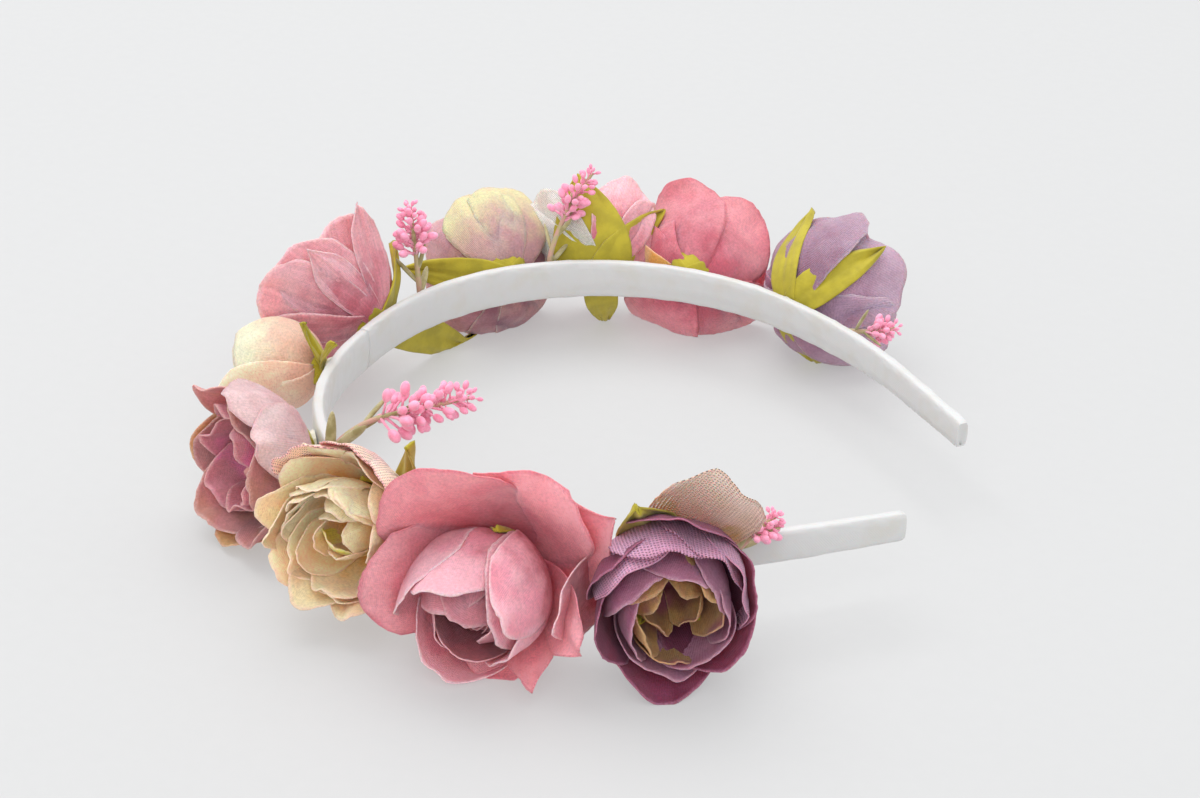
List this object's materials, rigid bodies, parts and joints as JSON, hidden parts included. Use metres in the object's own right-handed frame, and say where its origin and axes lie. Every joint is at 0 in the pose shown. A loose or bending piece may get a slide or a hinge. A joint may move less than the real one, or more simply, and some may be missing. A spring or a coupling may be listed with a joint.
{
  "type": "flower-trimmed headband",
  "caption": "Springy open headband in a white satin cover, tapering to its two tips, with fabric flowers and sprigs glued round its outside.",
  "frame": {"origin": "middle of the inner face of the band at the crown, half way across its width", "axes": "+X from the crown towards the open end between the two tips, +Y towards the left arm, +Z across the band, up when the headband lies on its side"},
  "size_m": [0.1516, 0.1746, 0.0414],
  "materials": {
    "satin": "white satin, soft sheen",
    "core_plastic": "plain white spring plastic, hidden inside the cover",
    "glue": "clouded hot-melt glue",
    "leaf": "olive stiffened fabric, mottled",
    "sprig": "moulded sprig with flocked pink buds and khaki leaves",
    "rose_petals": "dusty rose petal fabric, brushed weave",
    "plum_petals": "plum and mauve petal fabric, brushed weave",
    "peach_petals": "cream and peach petal fabric, brushed weave",
    "dusty_petals": "dusty mauve-pink petal fabric, brushed weave",
    "blossom_petals": "warm pink petal fabric, brushed weave",
    "mauve_petals": "mauve and cream petal fabric, brushed weave"
  },
  "bodies": {
    "crown": {"band_core_crown": "core_plastic", "satin_cover_crown": "satin", "yellow_bud_glue": "glue", "yellow_bud_calyx": "leaf", "yellow_bud_outer_petals": "peach_petals", "yellow_bud_heart": "peach_petals", "pink_blossom_glue": "glue", "pink_blossom_calyx": "leaf", "pink_blossom_outer_petals": "blossom_petals", "pink_blossom_heart": "blossom_petals", "crown_sprig": "sprig"},
    "left_arm": {"band_core_left_arm": "core_plastic", "satin_cover_left_arm": "satin", "left_tip_fold": "satin", "mauve_peony_glue": "glue", "mauve_peony_calyx": "leaf", "mauve_peony_outer_petals": "mauve_petals", "mauve_peony_inner_petals": "mauve_petals", "mauve_peony_heart": "mauve_petals", "pink_bud_glue": "glue", "pink_bud_calyx": "leaf", "pink_bud_outer_petals": "blossom_petals", "pink_bud_heart": "blossom_petals", "left_rose_glue": "glue", "left_rose_calyx": "leaf", "left_rose_outer_petals": "rose_petals", "left_rose_inner_petals": "rose_petals", "left_rose_heart": "rose_petals", "left_plum_glue": "glue", "left_plum_calyx": "leaf", "left_plum_outer_petals": "plum_petals", "left_plum_inner_petals": "plum_petals", "left_plum_heart": "plum_petals", "left_sprig": "sprig", "left_tip_sprig": "sprig"},
    "right_arm": {"band_core_right_arm": "core_plastic", "satin_cover_right_arm": "satin", "right_tip_fold": "satin", "right_plum_glue": "glue", "right_plum_calyx": "leaf", "right_plum_outer_petals": "plum_petals", "right_plum_inner_petals": "plum_petals", "right_plum_heart": "plum_petals", "right_rose_glue": "glue", "right_rose_calyx": "leaf", "right_rose_outer_petals": "rose_petals", "right_rose_inner_petals": "rose_petals", "right_rose_heart": "rose_petals", "peach_peony_glue": "glue", "peach_peony_calyx": "leaf", "peach_peony_outer_petals": "peach_petals", "peach_peony_inner_petals": "peach_petals", "peach_peony_heart": "peach_petals", "open_rose_glue": "glue", "open_rose_calyx": "leaf", "open_rose_outer_petals": "dusty_petals", "open_rose_inner_petals": "dusty_petals", "open_rose_heart": "dusty_petals", "inner_sprig": "sprig", "right_tip_sprig": "sprig"}
  },
  "joints": [
    {"name": "left_arm_flex", "type": "hinge", "parent": "crown", "child": "left_arm", "pos_m": [0.00347, 0.02837, 0], "axis": [0, 0, 1], "range_deg": [-2, 10], "stiffness_Nm_per_rad": 0.6},
    {"name": "right_arm_flex", "type": "hinge", "parent": "crown", "child": "right_arm", "pos_m": [0.00347, -0.02837, 0], "axis": [0, 0, -1], "range_deg": [-2, 10], "stiffness_Nm_per_rad": 0.6}
  ]
}
